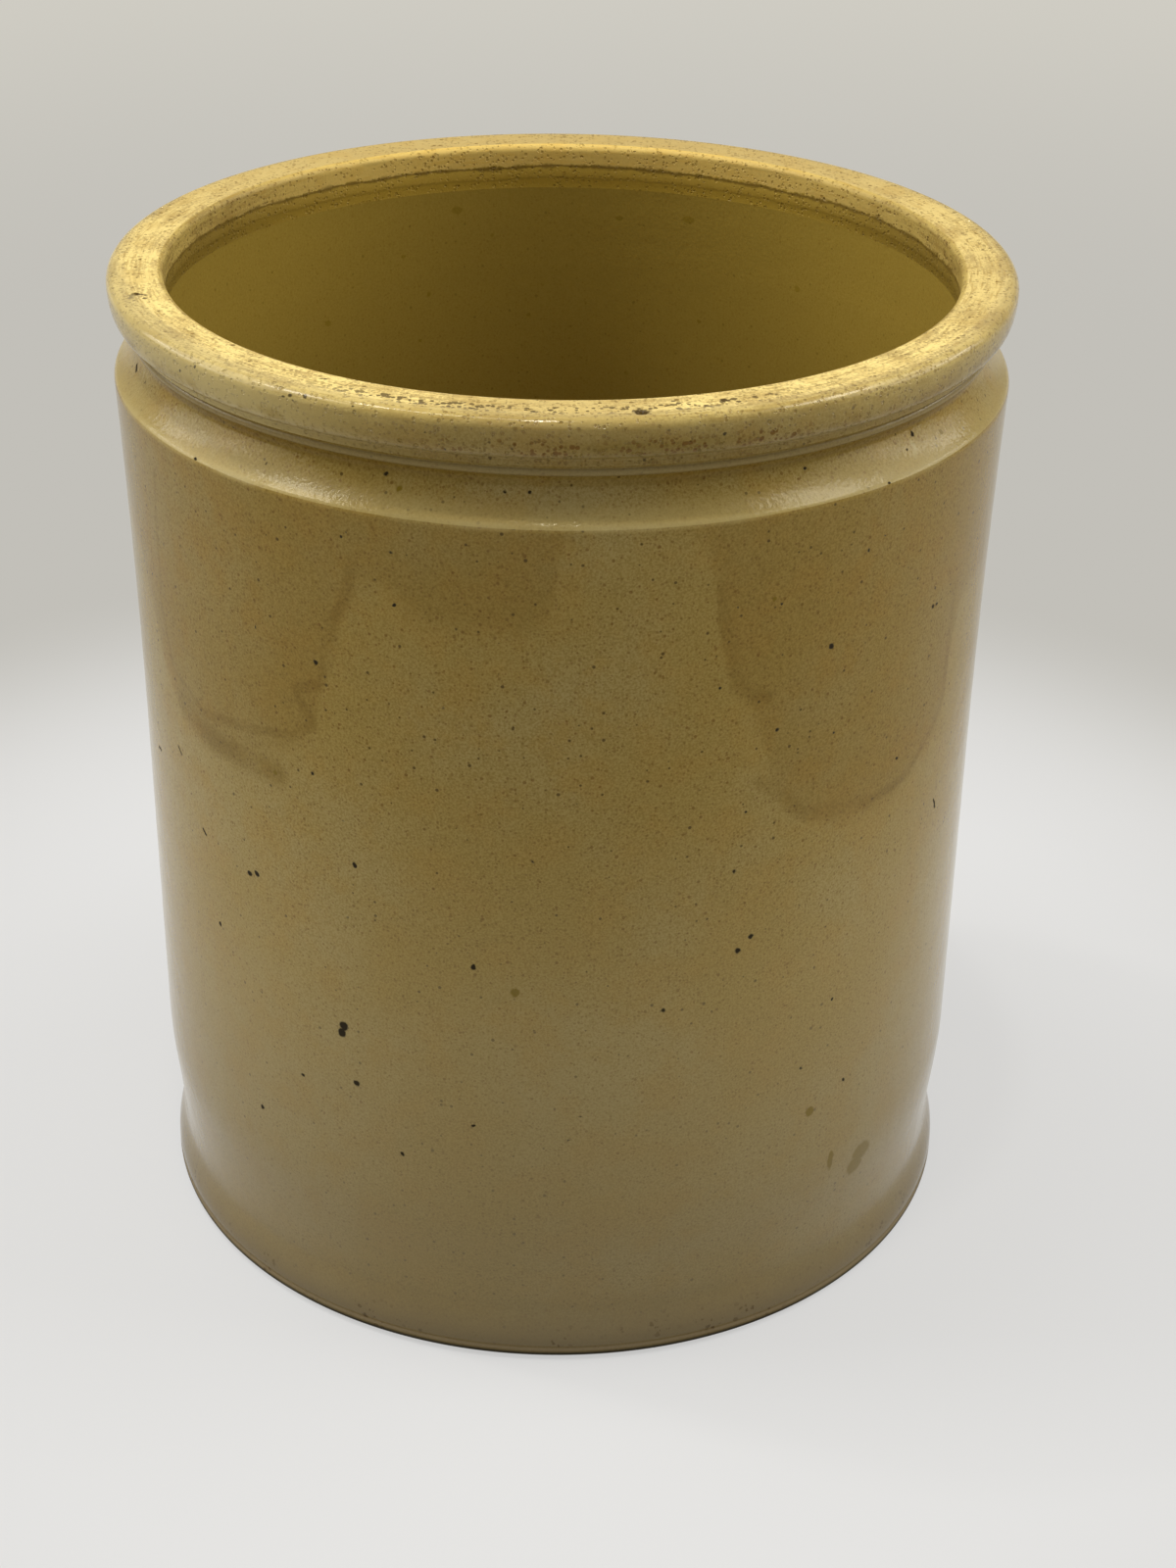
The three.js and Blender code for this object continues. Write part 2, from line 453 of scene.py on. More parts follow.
def chipped(piece, chips):
    """Knock small hollows out of the rim's top, each at a pixel, with a half width and a depth."""
    hollows = [(on_level(pixel, RIM_TOP), half, depth) for pixel, half, depth in chips]
    for vertex in piece.data.vertices:
        for place, half, depth in hollows:
            share = 1 - (vertex.co - place).length_squared / half ** 2
            if share > 0:
                vertex.co.z -= depth * share


# Materials. Named fades have a low and a high limit, and maybe what they give at each. Bands have their
# middle, how far from it they are full, where they end, and maybe their strength
SPOT_CORE = 0.8
SPOT_EDGE = 1.25
STROKE_CORE = 0.2
NOISE_DETAIL = 2.0


class Paint:
    """The nodes of a material or a world. Inputs can be sockets of other nodes or plain values."""

    def __init__(self, name, blocks=bpy.data.materials):
        self.block = blocks.new(name)
        self.block.use_nodes = True
        self.tree = self.block.node_tree
        self.tree.nodes.clear()

    def node(self, kind, inputs, **settings):
        made = self.tree.nodes.new(kind)
        for key, value in settings.items():
            setattr(made, key, value)
        for key, value in inputs.items():
            if isinstance(value, bpy.types.NodeSocket):
                self.tree.links.new(value, made.inputs[key])
            else:
                made.inputs[key].default_value = value
        return made

    def math(self, operation, first, second=0.0, clamp=False):
        made = self.node("ShaderNodeMath", {0: first, 1: second}, operation=operation, use_clamp=clamp)
        return made.outputs[0]

    def times(self, total, *factors):
        for factor in factors:
            total = self.math("MULTIPLY", total, factor)
        return total

    def plus(self, first, second):
        return self.math("ADD", first, second)

    def minus(self, first, second, clamp=False):
        return self.math("SUBTRACT", first, second, clamp)

    def size(self, value):
        """The value without its sign."""
        return self.math("ABSOLUTE", value)

    def most(self, total, *masks):
        for mask in masks:
            total = self.math("MAXIMUM", total, mask)
        return total

    def vector(self, operation, first, second=(0, 0, 0)):
        made = self.node("ShaderNodeVectorMath", {0: first, 1: second}, operation=operation)
        return made.outputs["Value" if operation in {"LENGTH", "DISTANCE", "DOT_PRODUCT"} else "Vector"]

    def fade(self, value, low, high, at_low=0.0, at_high=1.0):
        """A smooth step from at_low where value is low to at_high where it is high."""
        inputs = {"Value": value, "From Min": low, "From Max": high, "To Min": at_low, "To Max": at_high}
        return self.node("ShaderNodeMapRange", inputs, interpolation_type="SMOOTHSTEP").outputs[0]

    def near(self, value, middle, inner, outer, full=1.0):
        """Full within inner of the middle, fading to 0 at outer from it."""
        return self.fade(self.size(self.minus(value, middle)), inner, outer, full, 0.0)

    def mix(self, factor, first, second, blend="MIX"):
        inputs = {0: factor, 6: self.colour(first), 7: self.colour(second)}
        return self.node("ShaderNodeMix", inputs, data_type="RGBA", blend_type=blend).outputs[2]

    def tint(self, factor, colour, tone):
        """The colour, multiplied by a tone as far as factor goes."""
        return self.mix(factor, colour, tone, "MULTIPLY")

    def colour(self, value):
        return value if isinstance(value, bpy.types.NodeSocket) else (*value, 1)

    def place(self):
        """Where the shaded point is, in metres."""
        return self.node("ShaderNodeTexCoord", {}).outputs["Object"]

    def split(self, vector):
        made = self.node("ShaderNodeSeparateXYZ", {"Vector": vector})
        return made.outputs[0], made.outputs[1], made.outputs[2]

    def join(self, x, y, z):
        return self.node("ShaderNodeCombineXYZ", {0: x, 1: y, 2: z}).outputs[0]

    def turn(self, where):
        """Angle round the jar from its front, distance from its axis, and height."""
        x, y, z = self.split(where)
        angle = self.math("ARCTAN2", x, self.times(y, -1.0))
        return angle, self.vector("LENGTH", self.join(x, y, 0.0)), z

    def unrolled(self, angle, height):
        """The shaded point with the outside unrolled flat."""
        return self.join(self.times(angle, BODY_RADIUS), height, 0.0)

    def curve(self, angle, points):
        """A smooth line round the jar through points: shares of the turn, from the back, and values."""
        share = self.plus(self.times(angle, 1 / (2 * pi)), 0.5)
        made = self.node("ShaderNodeFloatCurve", {"Value": share})
        line = made.mapping.curves[0]
        for end, place in zip(line.points, (points[0], points[-1])):
            end.location = place
        for place in points[1:-1]:
            line.points.new(*place)
        made.mapping.update()
        return made.outputs[0]

    def noise(self, where, scale, detail=NOISE_DETAIL, roughness=0.5):
        inputs = {"Vector": where, "Scale": scale, "Detail": detail, "Roughness": roughness}
        return self.node("ShaderNodeTexNoise", inputs).outputs[0]

    def mottle(self, where, noise, limits):
        """Noise, faded between limits."""
        return self.fade(self.noise(where, *noise), *limits)

    def streaks(self, spot, length, width, detail=NOISE_DETAIL):
        """Noise drawn out round the jar. Spot is an angle, a distance from the axis and a height."""
        angle, radial, height = spot
        reach = RIM_RADIUS / length
        across = self.times(radial, 1 / width)
        upright = self.times(height, 1 / width)
        ahead = self.times(self.math("COSINE", angle), reach)
        aside = self.times(self.math("SINE", angle), reach)
        inputs = {"Vector": self.join(across, upright, ahead), "W": aside, "Scale": 1.0, "Detail": detail}
        return self.node("ShaderNodeTexNoise", inputs, noise_dimensions="4D").outputs[0]

    def wander(self, where, scale, reach):
        """The place, moved about by up to reach, so that spots and lines get uneven edges."""
        noise = self.node("ShaderNodeTexNoise", {"Vector": where, "Scale": scale, "Detail": NOISE_DETAIL})
        centred = self.vector("SUBTRACT", noise.outputs["Color"], (0.5, 0.5, 0.5))
        return self.vector("ADD", where, self.vector("MULTIPLY", centred, (2 * reach,) * 3))

    def dots(self, where, spacing, size, chance, softness):
        """Scattered dots: size and softness as shares of their spacing, on this share of places."""
        cells = self.node("ShaderNodeTexVoronoi", {"Vector": where, "Scale": 1 / spacing})
        draw = self.split(cells.outputs["Color"])[0]
        reach = self.times(self.minus(draw, 1 - chance, clamp=True), size / chance)
        return self.math("DIVIDE", self.minus(reach, cells.outputs["Distance"]), softness, clamp=True)

    def blot(self, where, centre, half_width, half_height=None):
        """1 inside a round or upright oval spot, fading to 0 at its edge."""
        if half_height is None:
            gap = self.vector("DISTANCE", where, tuple(centre))
            return self.fade(gap, SPOT_CORE * half_width, SPOT_EDGE * half_width, 1.0, 0.0)
        spread = 1 / half_width
        stretch = (spread, spread, 1 / half_height)
        offset = self.vector("MULTIPLY", self.vector("SUBTRACT", where, tuple(centre)), stretch)
        return self.fade(self.vector("LENGTH", offset), SPOT_CORE, SPOT_EDGE, 1.0, 0.0)

    def stroke(self, flat, points, half_width):
        """1 along a drawn line on the unrolled surface, fading to 0 at its edges."""
        masks = []
        for start, end in zip(points, points[1:]):
            run = Vector((end[0] - start[0], end[1] - start[1], 0))
            offset = self.vector("SUBTRACT", flat, (*start, 0))
            along = self.vector("DOT_PRODUCT", offset, run / run.length_squared)
            share = self.math("MULTIPLY", along, 1.0, clamp=True)
            foot = self.node("ShaderNodeVectorMath", {0: run, "Scale": share}, operation="SCALE")
            gap = self.vector("DISTANCE", offset, foot.outputs["Vector"])
            masks.append(self.fade(gap, STROKE_CORE * half_width, half_width, 1.0, 0.0))
        return self.most(*masks)

    def bump(self, height, depth, normal=None):
        inputs = {"Height": height, "Distance": depth, "Strength": 1.0}
        if normal:
            inputs["Normal"] = normal
        return self.node("ShaderNodeBump", inputs).outputs[0]

    def finish(self, colour, roughness, normal, ior, gloss):
        inputs = {"Base Color": colour, "Roughness": roughness, "Normal": normal, "IOR": ior}
        inputs["Specular Tint"] = (*gloss, 1)
        shader = self.node("ShaderNodeBsdfPrincipled", inputs)
        self.node("ShaderNodeOutputMaterial", {"Surface": shader.outputs[0]})
        return self.block


# Glaze colours
OLIVE = (0.315, 0.215, 0.047)
OCHRE = (0.328, 0.210, 0.042)
GREY_TAN = (0.335, 0.246, 0.078)
LOWER_GREY = (0.385, 0.298, 0.135)
# Painted shade: the tint that darkens the lower wall towards the foot
LOWER_SHADE_TINT = (0.80, 0.80, 0.85)
INSIDE_OLIVE = (0.322, 0.220, 0.037)
# Pale thin glaze, also used as a painted highlight on the shoulder edge and the glaze curl
PALE_GLAZE_AND_HIGHLIGHT = (0.46, 0.37, 0.16)
# Grey painted highlight on the collar's bead and the rim's lower lip
BEAD_HIGHLIGHT_GREY = (0.26, 0.20, 0.09)
# Cream glaze, also painted light on the lower cove and the sides of the rim
RIM_CREAM_AND_LIGHT = (0.50, 0.385, 0.145)
SPECKLE_TINT = (0.58, 0.43, 0.26)
GRAIN_DARK = (0.84, 0.80, 0.66)
GRAIN_LIGHT = (1.10, 1.11, 1.20)
COAT_TINT = (0.87, 0.83, 0.70)
# Darker tint of the tide marks, also used as painted shade in the groove and on the rim's front
TIDE_AND_SHADE_TINT = (0.75, 0.69, 0.48)
IRON_BLACK = (0.020, 0.012, 0.003)
IRON_BROWN = (0.060, 0.030, 0.003)
RUST = (0.155, 0.068, 0.001)
STAIN_BROWN = (0.172, 0.108, 0.000)

# Gloss: the smooth wall, the sandier collar, the rim and the foot
WALL_GLOSS = (1.0, 0.97, 0.80)
RIM_GLOSS = (1.0, 0.95, 0.80)
SANDY_GLOSS = (1.0, 0.91, 0.66)
WALL_IOR = 1.38
WALL_ROUGHNESS = 0.12
WALL_GRAIN = 0.25
COLLAR_IOR = 1.31
COLLAR_ROUGHNESS = 0.17
COLLAR_GRAIN = 0.85
RIM_IOR = 1.38
RIM_ROUGHNESS = 0.12
RIM_GRAIN = 0.25
FOOT_IOR = 1.15
FOOT_ROUGHNESS = 0.5
FOOT_GRAIN = 0.5
BLISTER_ROUGHNESS = 0.9
PEEL_DEPTH = 0.00006
RIM_PEEL_DEPTH = 0.00003

# The glaze's speckle: its strength, and how much shows inside. Spots wander by a noise's scale and a reach
FINE_SHARE = 0.55
SPECKLE_SHARE = 0.8
INSIDE_SHARE = 0.35
SPOT_WANDER = (900, 0.0004)

# Black iron specks outside: half width in metres, and the pixels of the photograph that show them
IRON_SPECKS = {
    0.0003: [
        (352, 544), (347, 549), (387, 755), (349, 839), (259, 640), (904, 547), (798, 617), (957, 616),
        (754, 621), (852, 749), (735, 703), (762, 829), (850, 1020), (668, 1195), (536, 544),
    ],
    0.0004: [
        (592, 1140), (580, 1165), (308, 1097), (436, 1288), (452, 724), (543, 880), (354, 937), (224, 943),
        (410, 1178), (482, 1150), (317, 1239), (398, 564), (401, 618), (317, 790), (888, 562), (953, 619),
        (794, 745), (916, 774), (818, 1091), (861, 1102), (735, 1291), (614, 1296), (523, 540),
    ],
    0.0005: [(361, 884), (750, 890), (677, 1032), (849, 660), (483, 988), (267, 1130), (321, 677)],
    0.0006: [(254, 892), (261, 892), (363, 1106), (767, 956), (754, 971), (422, 1322)],
}

# Larger spots outside, and marks on the inner wall: pixel, half width and half height
IRON_BLISTERS = [((350, 1048), 0.0008, 0.0010), ((348, 1054), 0.0007, 0.0009)]
RUST_STAINS = [
    ((827, 1135), 0.0009, 0.0010), ((848, 1185), 0.0007, 0.0022), ((880, 1175), 0.0024, 0.0018),
    ((874, 1190), 0.0021, 0.0018), ((525, 1014), 0.0008, 0.0009), ((280, 789), 0.0005, 0.0005),
    ((791, 612), 0.0004, 0.0004), ((937, 1202), 0.0006, 0.0005),
]
INSIDE_MARKS = [
    ((814, 295), 0.0006, 0.0006), ((598, 309), 0.0004, 0.0004), ((539, 320), 0.0005, 0.0004),
    ((714, 327), 0.0004, 0.0005), ((639, 380), 0.0005, 0.0005), ((428, 347), 0.0005, 0.0005),
    ((334, 330), 0.0006, 0.0006), ((437, 300), 0.0005, 0.0005), ((411, 261), 0.0006, 0.0004),
    ((502, 239), 0.0005, 0.0005), ((632, 222), 0.0008, 0.0005), ((466, 214), 0.0011, 0.0007),
    ((703, 224), 0.0012, 0.0007),
]
STAIN_SHARE = 0.85
MARK_SHARE = 0.5

# Short slanted pits in the glaze, drawn from one pixel to another
WALL_PITS = [
    ((181, 759), (184, 767)), ((955, 813), (956, 822)), ((206, 846), (209, 853)), ((162, 764), (164, 768)),
]
WALL_PIT_WIDTH = 0.00035

# Lower edge of the second coat of glaze, from left to right across the front, and its scallops at the back,
# each wave with a count round the jar, a phase and a depth
COAT_EDGE = [
    (152, 600), (172, 690), (200, 748), (250, 770), (315, 752), (330, 700), (355, 620), (385, 600),
    (420, 630), (480, 645), (555, 642), (572, 556), (590, 548), (715, 548), (735, 620), (748, 705),
    (775, 735), (790, 800), (825, 828), (885, 828), (935, 780), (962, 715), (985, 600),
]
COAT_BACK_LEVEL = 0.128
COAT_BACK_WAVES = [(4, 0.6, 0.012), (9, 0, 0.006)]
COAT_BACK_POINTS = 8
COAT_FADE = (-0.0027, 0.0027)

# Tide marks where runs of the second coat overlap: pixels along each, half width, and strength
TIDE_MARKS = [
    ([(157, 480), (163, 610), (176, 682), (212, 732)], 0.0007, 0.8),
    ([(186, 718), (228, 762), (282, 792)], 0.0034, 0.8),
    ([(359, 571), (353, 606), (339, 636), (340, 671), (327, 701), (303, 704)], 0.0015, 0.45),
    ([(303, 704), (321, 742), (300, 752), (271, 749), (241, 739), (194, 721)], 0.0014, 0.5),
    ([(741, 605), (752, 705), (782, 714)], 0.0018, 0.55),
    ([(777, 799), (821, 829), (886, 816)], 0.0020, 0.55),
    ([(886, 816), (928, 788), (960, 718), (976, 595)], 0.0013, 0.6),
]

# Pale shoulder edge, partly a painted highlight, the greyer lower wall, and painted shade darkening the wall
# towards the bottom
PALE_BAND = (SHOULDER_LEVEL + 0.0001, 0.0001, 0.0009)
LOWER_FADE = (0.030, 0.125, 0.4, 0.0)
LOWER_SHADE = (0.015, 0.080, 1.0, 0.0)


def glaze_colour(paint, where, radial):
    """The mottled olive-tan glaze with its fine brown speckle, yellower inside the jar."""
    colour = paint.mix(paint.mottle(where, (26, 3.0), (0.35, 0.65)), OLIVE, GREY_TAN)
    colour = paint.mix(paint.mottle(where, (130, 4.0, 0.6), (0.42, 0.68, 0.0, 0.7)), colour, OCHRE)
    inside = paint.fade(radial, 0.0668, 0.0685, 1.0, 0.0)
    colour = paint.mix(inside, colour, INSIDE_OLIVE)
    shade = paint.fade(inside, 0, 1, 1.0, INSIDE_SHARE)
    grain = paint.mix(paint.mottle(where, (2600, 3.0, 0.65), (0.36, 0.64)), GRAIN_DARK, GRAIN_LIGHT)
    colour = paint.tint(shade, colour, grain)
    fine = paint.times(paint.dots(where, 0.0006, 0.52, 0.8, 0.18), FINE_SHARE)
    middling = paint.times(paint.dots(where, 0.0013, 0.26, 0.7, 0.07), SPECKLE_SHARE)
    colour = paint.tint(paint.times(paint.most(fine, middling), shade), colour, SPECKLE_TINT)
    dark = paint.times(paint.dots(where, 0.0017, 0.20, 0.6, 0.05), SPECKLE_SHARE, shade)
    return paint.mix(dark, colour, IRON_BROWN)


def glaze_normal(paint, where, grain_depth, depth=PEEL_DEPTH):
    """The faint orange peel of a salt glaze, with a finer grain over it."""
    grain = paint.times(paint.noise(where, 1500, 2.0), grain_depth)
    return paint.bump(paint.plus(paint.noise(where, 330, 2.0), grain), depth)


def specks(sizes):
    """Each speck of a table by half width, as a pixel and its half width."""
    return [(pixel, half) for half, pixels in sizes.items() for pixel in pixels]


def outside_spots(paint, where, spots):
    """Spots on the jar's outside, each a pixel with a half width and maybe a half height."""
    return paint.most(*[paint.blot(where, on_outside(pixel), *sizes) for pixel, *sizes in spots])


def outside_line(paint, flat, pixels, half_width):
    """A drawn line on the jar's outside along pixels of the photograph."""
    return paint.stroke(flat, [unrolled(on_outside(pixel)) for pixel in pixels], half_width)


def inside_marks(paint, where, low, high):
    """Oval spots on the far inner wall, those between two levels."""
    places = [(on_round(pixel, INSIDE_RADIUS, far=True), wide, tall) for pixel, wide, tall in INSIDE_MARKS]
    return paint.most(*[paint.blot(where, *spot) for spot in places if low < spot[0].z <= high])


def stained(paint, colour, where, spots, low, high):
    """Brown stains outside, and fainter marks on the inner wall between two levels."""
    marks = paint.times(inside_marks(paint, where, low, high), MARK_SHARE)
    stains = paint.most(outside_spots(paint, where, spots), marks)
    return paint.mix(paint.times(stains, STAIN_SHARE), colour, STAIN_BROWN)


def specked(paint, where, colour, black, roughness, grain, ior, gloss):
    """A glossy glaze with matt black specks."""
    colour = paint.mix(black, colour, IRON_BLACK)
    roughness = paint.fade(black, 0, 1, roughness, BLISTER_ROUGHNESS)
    return paint.finish(colour, roughness, glaze_normal(paint, where, grain), ior, gloss)


def coat_level(share):
    """Where the second coat ends at the back, in soft scallops."""
    turn = 2 * pi * share
    waves = [depth * sin(turns * turn + phase) for turns, phase, depth in COAT_BACK_WAVES]
    return COAT_BACK_LEVEL + sum(waves)


def coat_line():
    """The second coat's lower edge all round: shares of the turn from the back, and of the wall's height."""
    front = [on_outside(pixel) for pixel in COAT_EDGE]
    line = [(atan2(place.x, -place.y) / (2 * pi) + 0.5, place.z) for place in front]
    left, right = line[0][0], line[-1][0]
    before = [left * i / COAT_BACK_POINTS for i in range(COAT_BACK_POINTS)]
    after = [right + (1 - right) * (i + 1) / COAT_BACK_POINTS for i in range(COAT_BACK_POINTS)]
    line = [(a, coat_level(a)) for a in before] + line + [(a, coat_level(a)) for a in after]
    return [(share, level / SHOULDER_LEVEL) for share, level in line]


def second_coat(paint, colour, where, spot, flat):
    """The darker, yellower second coat over the upper wall, with its tide marks."""
    angle, radial, height = spot
    level = paint.times(paint.curve(angle, coat_line()), SHOULDER_LEVEL)
    outside = paint.fade(radial, 0.0680, 0.0695)
    coat = paint.times(paint.fade(paint.minus(height, level), *COAT_FADE), outside)
    colour = paint.tint(coat, colour, COAT_TINT)
    tides = []
    for pixels, half_width, strength in TIDE_MARKS:
        tides.append(paint.times(outside_line(paint, flat, pixels, half_width), strength))
    tide = paint.times(paint.most(*tides), outside, paint.mottle(where, (70, 3.0), (0.38, 0.62, 0.5, 1.25)))
    return paint.tint(tide, colour, TIDE_AND_SHADE_TINT)


def pale_edge(paint, colour, where):
    """The thin, pale glaze on the shoulder edge, partly a painted highlight along it."""
    _, radial, height = paint.turn(where)
    # Pale glaze and painted highlight along the shoulder edge
    edge = paint.times(paint.near(height, *PALE_BAND), paint.fade(radial, 0.0735, 0.0740))
    patchy = paint.mottle(where, (70, 2.0), (0.35, 0.6, 0.05, 0.4))
    return paint.mix(paint.times(edge, patchy), colour, PALE_GLAZE_AND_HIGHLIGHT)


# Foot: thin tan glaze darkened with painted shade, brown specks in clusters, a pale line above the rounded
# edge, and a painted contact shadow below it
FOOT_TAN_AND_SHADE = (0.165, 0.122, 0.060)
FOOT_SPECK = (0.070, 0.038, 0.008)
FOOT_LINE = (0.36, 0.28, 0.17)
FOOT_CONTACT_SHADOW = (0.030, 0.025, 0.014)
FOOT_TAN_AND_SHADE_FADE = (0.0025, 0.0150, 0.8, 0.0)
FOOT_SPECK_FADE = (0.0030, 0.0090, 0.8, 0.0)
FOOT_LINE_BAND = (0.0023, 0.0002, 0.0005, 0.4)
FOOT_CONTACT_SHADOW_FADE = (0.0014, 0.0019, 0.95, 0.0)


def foot_tone(paint, colour, where, height):
    """Thin, greyer glaze with painted shade near the standing edge, brown specks, a pale rounded line and a
    painted contact shadow.
    """
    # Painted shade: the glaze darkens towards the standing edge
    colour = paint.mix(paint.fade(height, *FOOT_TAN_AND_SHADE_FADE), colour, FOOT_TAN_AND_SHADE)
    patchy = paint.mottle(where, (160, 2.0), (0.40, 0.6))
    clusters = paint.times(paint.fade(height, *FOOT_SPECK_FADE), patchy)
    dots = paint.dots(paint.wander(where, 1300, 0.0005), 0.0010, 0.55, 0.8, 0.15)
    colour = paint.mix(paint.times(dots, clusters), colour, FOOT_SPECK)
    colour = paint.mix(paint.near(height, *FOOT_LINE_BAND), colour, FOOT_LINE)
    # Painted contact shadow along the bottom of the standing edge
    return paint.mix(paint.fade(height, *FOOT_CONTACT_SHADOW_FADE), colour, FOOT_CONTACT_SHADOW)


def foot_material():
    paint = Paint("bare_foot")
    where = paint.place()
    _, radial, height = paint.turn(where)
    colour = foot_tone(paint, glaze_colour(paint, where, radial), where, height)
    return paint.finish(colour, FOOT_ROUGHNESS, glaze_normal(paint, where, FOOT_GRAIN), FOOT_IOR, WALL_GLOSS)


def wall_material():
    paint = Paint("wall_glaze")
    where = paint.place()
    uneven = paint.wander(where, *SPOT_WANDER)
    spot = paint.turn(paint.wander(paint.wander(where, 60, 0.0016), 350, 0.0005))
    angle, radial, height = spot
    flat = paint.unrolled(angle, height)
    colour = glaze_colour(paint, where, radial)
    lower = paint.times(paint.fade(height, *LOWER_FADE), paint.fade(radial, 0.068, 0.070))
    colour = paint.mix(lower, colour, LOWER_GREY)
    # Painted shade: the wall darkens towards the foot
    colour = paint.tint(paint.fade(height, *LOWER_SHADE), colour, LOWER_SHADE_TINT)
    colour = second_coat(paint, colour, where, spot, flat)
    colour = pale_edge(paint, colour, where)
    colour = foot_tone(paint, colour, where, height)
    colour = stained(paint, colour, uneven, RUST_STAINS, 0, TENON_BOTTOM)
    pits = [outside_line(paint, flat, ends, WALL_PIT_WIDTH) for ends in WALL_PITS]
    black = paint.most(outside_spots(paint, uneven, IRON_BLISTERS + specks(IRON_SPECKS)), *pits)
    return specked(paint, where, colour, black, WALL_ROUGHNESS, WALL_GRAIN, WALL_IOR, WALL_GLOSS)


# Collar: its specks by half width, its stains, a pit, and a curl in its glaze painted pale as a highlight
COLLAR_SPECKS = {
    0.0003: [(616, 520)],
    0.0004: [
        (393, 483), (515, 501), (540, 502), (712, 512), (822, 478), (909, 493), (270, 472), (198, 468),
        (473, 479), (927, 459),
    ],
    0.0005: [(932, 442)],
}
COLLAR_STAINS = [((407, 498), 0.0006, 0.0006), ((962, 440), 0.0006, 0.0005), ((804, 530), 0.0005, 0.0004)]
NECK_PIT = [(radians(-75.2), 0.1608), (radians(-73.8), 0.1603)]
NECK_PIT_WIDTH = 0.0004
GLAZE_CURL_HIGHLIGHT = [(932, 452), (937, 459), (936, 466)]
CURL_WIDTH = 0.0006
CURL_SHARE = 0.5

# Bands of the collar's glaze, from the cove up to the seam under the rim: cream with painted light on the
# lower cove, painted shade in the groove, a grey painted highlight on the bead, and painted shade in the
# seam
COVE_CREAM_AND_LIGHT_FADE = (SHOULDER_LEVEL, NECK_LEVEL - 0.0010, 0.5, 0.0)
GROOVE_SHADE_BAND = (0.1633, 0.0005, 0.0018)
BEAD_HIGHLIGHT_BAND = (BEAD_LEVEL, 0.0005, 0.0009, 0.6)
SEAM_SHADE_BAND = (0.1657, 0.0001, 0.0005, 0.3)


def collar_material():
    paint = Paint("collar_glaze")
    where = paint.place()
    uneven = paint.wander(where, *SPOT_WANDER)
    angle, radial, height = paint.turn(where)
    flat = paint.unrolled(angle, height)
    outside = paint.fade(radial, 0.0695, 0.0702)
    colour = glaze_colour(paint, where, radial)
    # Painted shade in the groove under the bead
    colour = paint.tint(paint.times(paint.near(height, *GROOVE_SHADE_BAND), outside), colour, TIDE_AND_SHADE_TINT)
    # Cream glaze with painted light on the lower, upward-facing cove
    colour = paint.mix(paint.times(paint.fade(height, *COVE_CREAM_AND_LIGHT_FADE), outside), colour, RIM_CREAM_AND_LIGHT)
    # A grey painted highlight on the bead
    colour = paint.mix(paint.times(paint.near(height, *BEAD_HIGHLIGHT_BAND), outside), colour, BEAD_HIGHLIGHT_GREY)
    # Painted shade in the seam under the rim
    colour = paint.mix(paint.times(paint.near(height, *SEAM_SHADE_BAND), outside), colour, IRON_BROWN)
    colour = pale_edge(paint, colour, where)
    colour = stained(paint, colour, uneven, COLLAR_STAINS, TENON_BOTTOM, RIM_BOTTOM)
    # Painted highlight: the curl in the glaze is painted pale where the cove's reflection catches it
    curl_highlight = paint.times(outside_line(paint, flat, GLAZE_CURL_HIGHLIGHT, CURL_WIDTH), CURL_SHARE)
    colour = paint.mix(curl_highlight, colour, PALE_GLAZE_AND_HIGHLIGHT)
    pit = paint.stroke(flat, [(turn * BODY_RADIUS, level) for turn, level in NECK_PIT], NECK_PIT_WIDTH)
    black = paint.most(outside_spots(paint, uneven, specks(COLLAR_SPECKS)), pit)
    return specked(paint, where, colour, black, COLLAR_ROUGHNESS, COLLAR_GRAIN, COLLAR_IOR, SANDY_GLOSS)


# Worn rim colours
WORN_TAN = (0.83, 0.635, 0.222)
WORN_DULL = (0.45, 0.318, 0.104)
WORN_PATCH = (0.47, 0.31, 0.080)
# Painted shade darkens the inner mouth face at the sides, and painted light brightens it at the rear
MOUTH_SIDE_PAINTED_SHADE = (0.74, 0.70, 0.52)
MOUTH_REAR_PAINTED_LIGHT = (1.45, 1.40, 1.05)
PIT_TAN = (0.22, 0.125, 0.018)
PIT_BROWN = (0.075, 0.042, 0.006)
CRACK_BROWN = (0.150, 0.090, 0.011)

# Where the bare clay is duller: towards the back, at the right and in front
BACK_DULL = (-0.02, 0.07, 0.0, 0.9)
RIGHT_DULL = (0.055, 0.070, 0.0, 0.4)
FRONT_DULL = (radians(6), radians(16), 0.6, 0.0)

# Pits: their strength, the row round the front, and clusters at a pixel with a half width
PEPPER_SHARE = 0.55
ROW_BAND = (0.0704, 0.0007, 0.0018)
ROW_TURN = (0.0, 0.35, 0.7)
PIT_CLUSTERS = [((141, 303), 0.0016), ((163, 321), 0.0010), ((330, 388), 0.0009), ((690, 411), 0.0012)]
PIT_SHARE = 0.85
PIT_DEPTH = 0.0002

# Chips knocked out of the rim's top: pixel, half width and depth
RIM_CHIPS = [((655, 420), 0.0011, 0.0007), ((739, 408), 0.0006, 0.0003), ((138, 300), 0.0007, 0.0003)]

# How far the bare top reaches out over the rim: angle from the front in degrees, and reach in metres
WORN_EDGE = [
    (-180, 0.0738), (-130, 0.0742), (-84, 0.0731), (-64, 0.0711), (-45, 0.0715), (-30, 0.0722),
    (-12, 0.0721), (0, 0.0726), (10, 0.0722), (30, 0.0728), (45, 0.0729), (60, 0.0728),
    (90, 0.0732), (130, 0.0738), (180, 0.0738),
]
WORN_SPAN = 0.01

